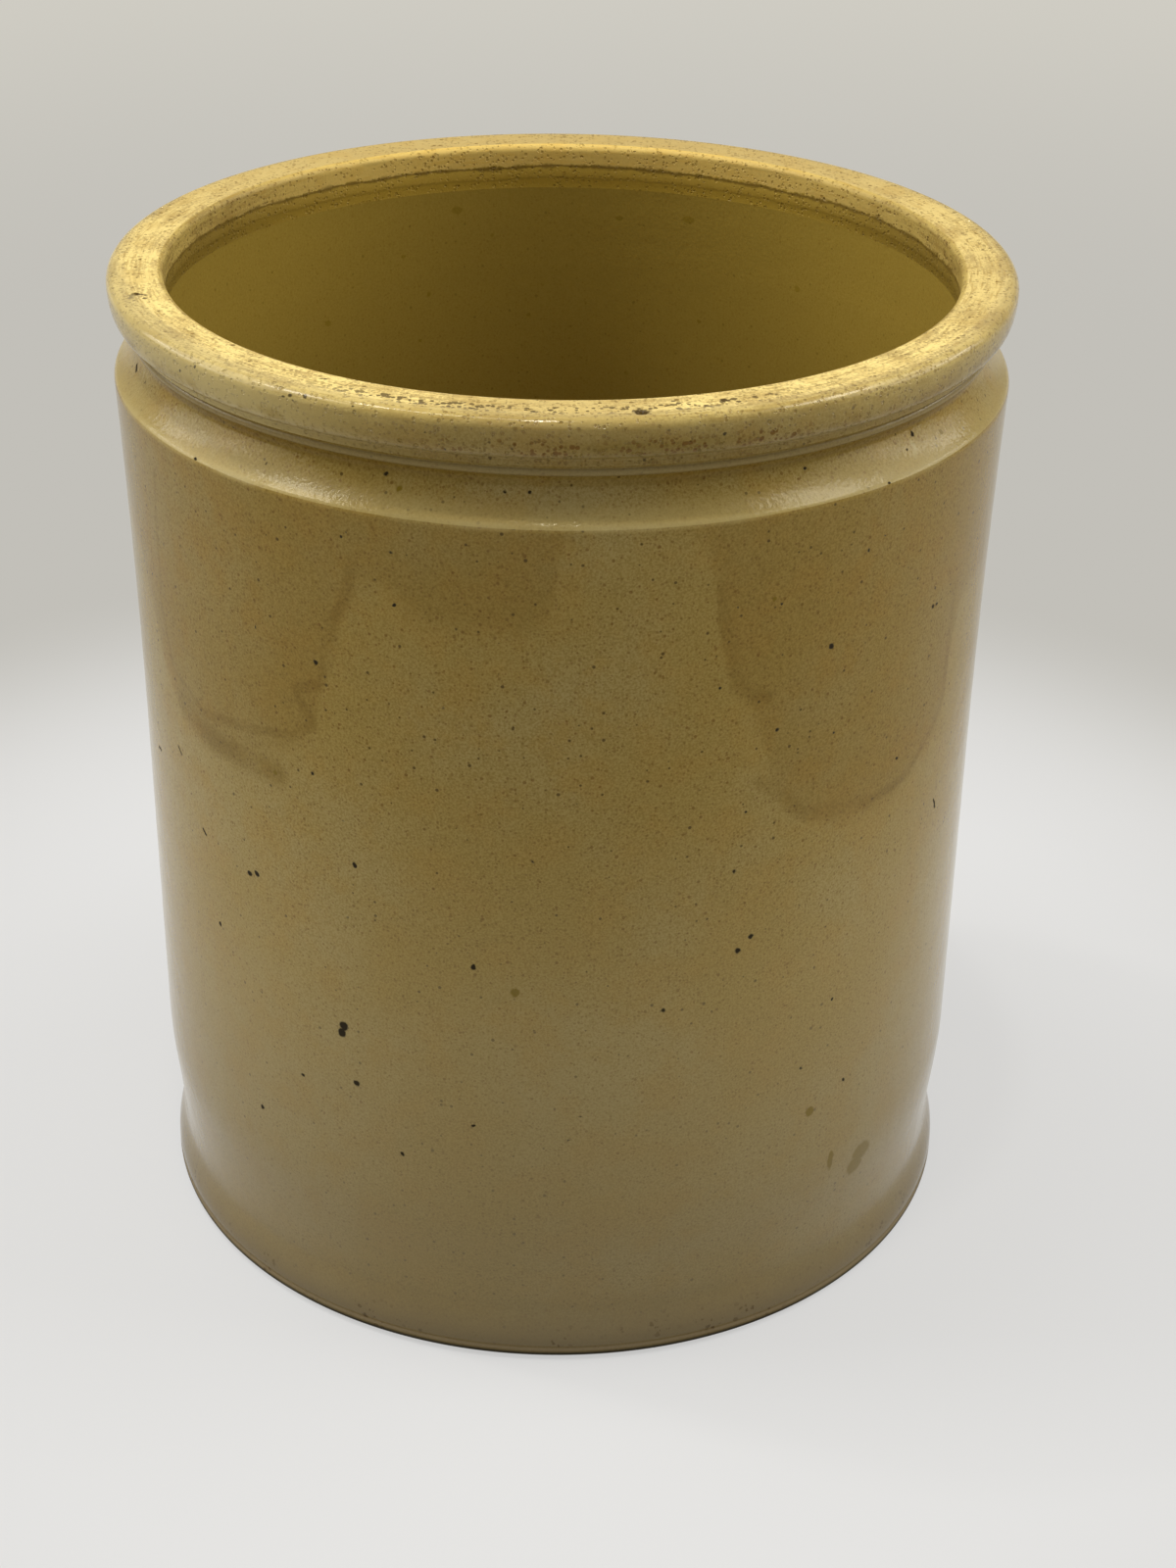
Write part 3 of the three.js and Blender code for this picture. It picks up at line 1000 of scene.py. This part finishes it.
# How ragged its edge is, and how bare, thin and matt the glaze is across it
EDGE_RAGGED = 0.0014
SAND_RAGGED = 0.0018
BARE_FADE = (-0.0006, 0.0006, 1.0, 0.0)
THIN_FADE = (0.0, 0.0065, 0.6, 0.0)
MATT_FADE = (-0.0018, -0.0004, 0.6, RIM_ROUGHNESS)
MOUTH_ROUGHNESS = 0.5

# Inside the mouth: where painted light at its rear takes over from painted shade at its sides, the crack,
# the wear above and below it, and two fainter lines
MOUTH_PAINTED_LIGHT_TURN = (radians(105), radians(160))
CRACK_LEVEL = 0.1699
CRACK_FADE = (CRACK_LEVEL, CRACK_LEVEL + 0.0003)
CRACK_DRIFT = 0.0016
CRACK_RAGGED = 0.25
CRACK_SHARE = 0.85
LOWER_LEVEL = 0.1677
LOWER_BARE = (LOWER_LEVEL, LOWER_LEVEL + 0.0005, 0.0, 0.12)
LOWER_LINE = (LOWER_LEVEL, 0.0, 0.0004, 0.3)
BRIM_LINE = (0.1731, 0.0, 0.0005)

# The rim's glazed outer face: cream with painted light at the sides, stains and painted shade in front,
# and a grey painted highlight on the lip
LEFT_CREAM_AND_LIGHT = (radians(-42), radians(-8), 0.9, 0.1)
RIGHT_CREAM_AND_LIGHT = (radians(12), radians(60), 0.1, 0.2)
CREAM_END = (radians(110), radians(160), 1.0, 0.0)
STAIN_BAND = (0.1692, 0.0003, 0.0020)
FRONT_SHADE = (radians(15), radians(45), 0.55, 0.0)
LIP_HIGHLIGHT_BAND = (LIP_LEVEL, 0.0003, 0.0009, 0.55)

# Rust on it: a brown wash, and dots between two levels and two angles from the front
WASH_BAND = (0.1692, 0.0006, 0.0022, 0.4)
WASH_TURN = (radians(10), radians(4), radians(16))
RUST_BOTTOM = (0.1681, 0.1687)
RUST_TOP = (0.1704, 0.1716, 1.0, 0.0)
RUST_LEFT = (radians(-20), radians(-20) + 0.2)
RUST_RIGHT = (radians(36) - 0.2, radians(36), 1.0, 0.0)
RUST_SHARE = 0.95

# Black specks on the rim: half width, and pixels
RIM_SPECKS = {
    0.0003: [
        (433, 442), (454, 460), (740, 443), (198, 374), (208, 369), (183, 379), (288, 405), (303, 417),
        (299, 411), (359, 414),
    ],
    0.0004: [(295, 403), (311, 404)],
}
RIM_SPECK_SHARE = 0.85


def worn_clay(paint, where, spot, streak):
    """Bare tan stoneware with a sandy grain and scratches, duller in front, at the right and at the back."""
    grain = paint.times(paint.noise(where, 2400, 3.0, 0.6), 0.4)
    cloud = paint.times(paint.noise(where, 90, 2.0), 0.3)
    tone = paint.plus(paint.plus(grain, paint.times(streak, 0.3)), cloud)
    colour = paint.mix(paint.fade(tone, 0.44, 0.60), WORN_TAN, WORN_DULL)
    x, y, _ = paint.split(where)
    front = paint.fade(paint.size(spot[0]), *FRONT_DULL)
    dull = paint.most(paint.fade(y, *BACK_DULL), paint.fade(x, *RIGHT_DULL), front)
    colour = paint.mix(dull, colour, WORN_DULL)
    scratches = paint.fade(paint.streaks(spot, 0.005, 0.0004, 3.0), 0.52, 0.66, 0.0, 0.7)
    patchy = paint.mottle(where, (170, 4.0, 0.6), (0.50, 0.66, 0.0, 0.45))
    return paint.mix(paint.most(patchy, scratches), colour, WORN_PATCH)


def rim_pits(paint, where, spot, streak):
    """Masks of the shallow and the deep pits in the bare clay."""
    angle, radial, _ = spot
    pepper = paint.times(paint.dots(where, 0.0006, 0.62, 0.7, 0.2), PEPPER_SHARE)
    scattered = paint.times(paint.dots(where, 0.0011, 0.40, 0.6, 0.12), paint.fade(streak, 0.48, 0.58))
    row = paint.times(paint.near(radial, *ROW_BAND), paint.near(angle, *ROW_TURN))
    ringed = paint.times(paint.dots(where, 0.0008, 0.80, 0.85, 0.12), row)
    clusters = [paint.blot(where, on_level(pixel, RIM_TOP), half) for pixel, half in PIT_CLUSTERS]
    clustered = paint.times(paint.dots(where, 0.0008, 0.75, 0.9, 0.15), paint.most(*clusters))
    return paint.most(pepper, scattered), paint.times(paint.most(ringed, clustered), PIT_SHARE)


def worn_colour(paint, where, spot):
    """The bare clay with its pits and chips, and a mask of the pits."""
    streak = paint.streaks(spot, 0.010, 0.0008)
    shallow, deep = rim_pits(paint, where, spot, streak)
    chips = [paint.blot(where, on_level(pixel, RIM_TOP), half) for pixel, half, _ in RIM_CHIPS]
    colour = paint.mix(paint.times(shallow, PIT_SHARE), worn_clay(paint, where, spot, streak), PIT_TAN)
    return paint.mix(paint.most(deep, *chips), colour, PIT_BROWN), paint.most(shallow, deep)


def beyond_worn(paint, spot, ragged):
    """How far outside the bare top's ragged edge a point of the rim lies, in metres."""
    angle, radial, height = spot
    line = [(degrees / 360 + 0.5, (reach - INSIDE_RADIUS) / WORN_SPAN) for degrees, reach in WORN_EDGE]
    edge = paint.times(paint.curve(angle, line), WORN_SPAN)
    reach = paint.plus(radial, paint.minus(RIM_TOP - INSIDE_RADIUS, height))
    return paint.plus(paint.minus(reach, edge), ragged)


def bare_share(paint, height, inside, beyond, ragged):
    """1 where the rim's glaze is worn off: its top, and a band inside the mouth down to the crack."""
    outer = paint.most(paint.fade(beyond, *BARE_FADE), paint.fade(beyond, *THIN_FADE))
    level = paint.plus(height, ragged)
    inner = paint.most(paint.fade(level, *CRACK_FADE), paint.fade(level, *LOWER_BARE))
    return paint.fade(inside, 0, 1, outer, inner)


def mouth_lines(paint, spot, inside, ragged):
    """The crack round the inside of the mouth, a fainter line under it, and a grey one at the brim."""
    _, _, height = spot
    wave = paint.streaks(spot, 0.016, 0.02)
    drift = paint.times(paint.minus(wave, 0.5), CRACK_DRIFT)
    level = paint.plus(height, paint.plus(drift, paint.times(ragged, CRACK_RAGGED)))
    width = paint.fade(paint.streaks(spot, 0.003, 0.01), 0.35, 0.65, 0.0003, 0.0008)
    crack = paint.near(level, CRACK_LEVEL, 0.0, width, CRACK_SHARE)
    lower = paint.near(level, *LOWER_LINE)
    brim = paint.times(paint.near(level, *BRIM_LINE), paint.fade(wave, 0.4, 0.6, 0.0, 0.3))
    return paint.times(paint.most(crack, lower, brim), inside)


def rust_dots(paint, where, spot):
    """Clusters of rusty dots round the front of the rim's outer face."""
    angle, _, height = spot
    dots = paint.times(paint.dots(where, 0.0008, 0.70, 0.95, 0.14), RUST_SHARE)
    clusters = paint.mottle(where, (210, 2.0), (0.38, 0.50, 0.20, 1.0))
    band = paint.times(paint.fade(height, *RUST_BOTTOM), paint.fade(height, *RUST_TOP))
    front = paint.times(paint.fade(angle, *RUST_LEFT), paint.fade(angle, *RUST_RIGHT))
    return paint.times(dots, clusters, band, front)


def rim_glaze(paint, where, spot):
    """The rim's glaze: paler with painted light round the sides, stained, with painted shade in front, and a
    grey painted highlight on its lower lip.
    """
    angle, radial, height = spot
    side = paint.size(angle)
    outside = paint.fade(radial, 0.070, 0.071)
    colour = glaze_colour(paint, where, radial)
    # Cream glaze with painted light at the sides of the rim
    cream_and_light = paint.most(paint.fade(angle, *LEFT_CREAM_AND_LIGHT), paint.fade(angle, *RIGHT_CREAM_AND_LIGHT))
    cream_and_light = paint.times(cream_and_light, paint.fade(side, *CREAM_END), outside)
    colour = paint.mix(cream_and_light, colour, RIM_CREAM_AND_LIGHT)
    stains = paint.mottle(where, (240, 4.0, 0.6), (0.42, 0.62, 0.0, 0.8))
    stains = paint.times(stains, paint.near(height, *STAIN_BAND))
    # Painted shade darkens the front of the rim's face, together with the stains
    shaded = paint.times(paint.most(stains, paint.fade(side, *FRONT_SHADE)), outside)
    colour = paint.tint(shaded, colour, TIDE_AND_SHADE_TINT)
    # A grey painted highlight on the lower lip
    colour = paint.mix(paint.times(paint.near(height, *LIP_HIGHLIGHT_BAND), outside), colour, BEAD_HIGHLIGHT_GREY)
    wash = paint.times(paint.near(height, *WASH_BAND), paint.near(angle, *WASH_TURN))
    colour = paint.mix(wash, colour, STAIN_BROWN)
    return paint.mix(rust_dots(paint, where, spot), colour, RUST)


def rim_material():
    paint = Paint("worn_rim")
    where = paint.place()
    spot = paint.turn(where)
    angle, radial, height = spot
    streaky = paint.times(paint.minus(paint.streaks(spot, 0.004, 0.0012, 4.0), 0.5), EDGE_RAGGED)
    sandy = paint.times(paint.minus(paint.noise(where, 1700, 2.0), 0.5), SAND_RAGGED)
    ragged = paint.plus(streaky, sandy)
    inside = paint.fade(radial, 0.0663, 0.0667, 1.0, 0.0)
    beyond = beyond_worn(paint, spot, ragged)
    bare = bare_share(paint, height, inside, beyond, ragged)
    worn, pits = worn_colour(paint, where, spot)
    colour = paint.mix(bare, rim_glaze(paint, where, spot), worn)
    # Painted light and shade on the inner mouth face: darker at the sides, lighter at the rear
    rear_painted_light = paint.fade(paint.size(angle), *MOUTH_PAINTED_LIGHT_TURN)
    colour = paint.tint(inside, colour, paint.mix(rear_painted_light, MOUTH_SIDE_PAINTED_SHADE, MOUTH_REAR_PAINTED_LIGHT))
    colour = paint.mix(mouth_lines(paint, spot, inside, ragged), colour, CRACK_BROWN)
    black = outside_spots(paint, paint.wander(where, *SPOT_WANDER), specks(RIM_SPECKS))
    colour = paint.mix(paint.times(black, RIM_SPECK_SHARE), colour, IRON_BLACK)
    roughness = paint.fade(inside, 0, 1, paint.fade(beyond, *MATT_FADE), MOUTH_ROUGHNESS)
    normal = glaze_normal(paint, where, RIM_GRAIN, RIM_PEEL_DEPTH)
    normal = paint.bump(paint.times(pits, -1.0), PIT_DEPTH, normal)
    return paint.finish(colour, roughness, normal, RIM_IOR, RIM_GLOSS)


# Stage
FLOOR_COLOUR = (0.50, 0.495, 0.485)
PALE_COLOUR = (0.88, 0.875, 0.86)
BACKDROP_COLOUR = (0.54, 0.525, 0.485)
DISTANT_COLOUR = (0.63, 0.61, 0.55)
PALE_SHARE = 0.6
FLOOR_HALF = 6
FLOOR_CORNERS = [(-1, -1), (1, -1), (1, 1), (-1, 1)]
FAR_FADE = (0.13, 0.27)
DISTANT_FADE = (0.45, 1.1)

# Light: each lamp's turn from the front and rise in degrees, width and height, and level
WORLD_LEVEL = 0.28
LIGHT_AIM = Vector((0, 0, 0.1))
LIGHT_REACH = 1.3
LAMPS = {
    "top_strip": (-99, 78, 0.06, 0.50, 0.14),
    "front_spark": (-18, 81, 0.06, 0.06, 0.14),
    "left_spark": (-103, 67, 0.06, 0.06, 0.11),
    "front_fill": (0, 40, 1.0, 1.0, 0.07),
    "left_wash": (-98, 36, 1.1, 1.1, 0.43),
    "left_strip": (-105, 26, 0.75, 0.10, 0.05),
    "left_box": (-88, 50, 0.28, 0.28, 0.16),
    "right_wash": (98, 36, 1.1, 1.1, 0.43),
    "right_strip": (105, 26, 0.75, 0.10, 0.05),
    "right_box": (88, 50, 0.50, 0.28, 0.19),
}


def floor():
    mesh = bpy.data.meshes.new("floor")
    mesh.from_pydata([(x * FLOOR_HALF, y * FLOOR_HALF, 0) for x, y in FLOOR_CORNERS], [], [(0, 1, 2, 3)])
    paint = Paint("pale_floor")
    away = paint.vector("LENGTH", paint.place())
    rays = paint.node("ShaderNodeLightPath", {})
    seen = paint.most(*[rays.outputs[f"Is {kind} Ray"] for kind in ("Camera", "Glossy", "Transmission")])
    far = paint.fade(away, *FAR_FADE)
    share = paint.times(seen, paint.fade(far, 0, 1, PALE_SHARE, 1.0))
    lit = paint.node("ShaderNodeBsdfDiffuse", {"Color": (*FLOOR_COLOUR, 1)})
    backdrop = paint.mix(paint.fade(away, *DISTANT_FADE), BACKDROP_COLOUR, DISTANT_COLOUR)
    pale = paint.node("ShaderNodeEmission", {"Color": paint.mix(far, PALE_COLOUR, backdrop)})
    both = paint.node("ShaderNodeMixShader", {0: share, 1: lit.outputs[0], 2: pale.outputs[0]})
    paint.node("ShaderNodeOutputMaterial", {"Surface": both.outputs[0]})
    mesh.materials.append(paint.block)
    placed("floor", mesh)


def soft_light(name, turn, rise, width, height, level):
    """A soft box that faces the jar, turned from the front and raised by angles in degrees.

    Level is how bright it makes a white card at the jar that faces it.
    """
    lamp = bpy.data.lights.new(name, "AREA")
    lamp.shape = "RECTANGLE"
    lamp.size = width
    lamp.size_y = height
    level_reach = LIGHT_REACH * cos(radians(rise))
    offset = Vector((
        level_reach * sin(radians(turn)),
        -level_reach * cos(radians(turn)),
        LIGHT_REACH * sin(radians(rise)),
    ))
    lamp.energy = level * pi ** 2 * offset.length_squared
    facing = (-offset).to_track_quat("-Z", "Y").to_matrix().to_4x4()
    placed(name, lamp).matrix_world = Matrix.Translation(LIGHT_AIM + offset) @ facing


def lights():
    for name, settings in LAMPS.items():
        soft_light(name, *settings)


def world():
    paint = Paint("studio", bpy.data.worlds)
    seen = paint.node("ShaderNodeLightPath", {}).outputs["Is Camera Ray"]
    dim = paint.node("ShaderNodeBackground", {"Color": (1, 1, 1, 1), "Strength": WORLD_LEVEL})
    pale = paint.node("ShaderNodeBackground", {"Color": (*DISTANT_COLOUR, 1)})
    both = paint.node("ShaderNodeMixShader", {0: seen, 1: dim.outputs[0], 2: pale.outputs[0]})
    paint.node("ShaderNodeOutputWorld", {"Surface": both.outputs[0]})
    bpy.context.scene.world = paint.block


def camera():
    lens = bpy.data.cameras.new("camera")
    lens.sensor_width = SENSOR
    lens.lens = SENSOR * FOCAL_PIXELS / IMAGE_HEIGHT
    lens.clip_start = CLIP_START
    right, up, forward = camera_axes()
    turn = Matrix((right, up, -forward)).transposed().to_4x4()
    holder = placed("camera", lens)
    holder.matrix_world = Matrix.Translation(CAMERA_PLACE) @ turn
    bpy.context.scene.camera = holder
    bpy.context.scene.view_settings.view_transform = "Standard"


def dress(name, node, outline, steps, material):
    """One clay member, in place of its node."""
    piece = turned(name, outline, steps)
    piece.data.materials.append(material)
    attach(piece, "root")
    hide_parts(node)
    return piece


camera()
lights()
world()
floor()
dress("floor_slab", "base_slab", slab_outline(), WALL_STEPS, foot_material())
dress("jar_wall", "body_wall", wall_outline(), WALL_STEPS, wall_material())
dress("neck_collar", "shoulder_collar", collar_outline(), COLLAR_STEPS, collar_material())
rim = dress("rolled_rim", "rim_ring", rim_outline(), RIM_STEPS, rim_material())
chipped(rim, RIM_CHIPS)
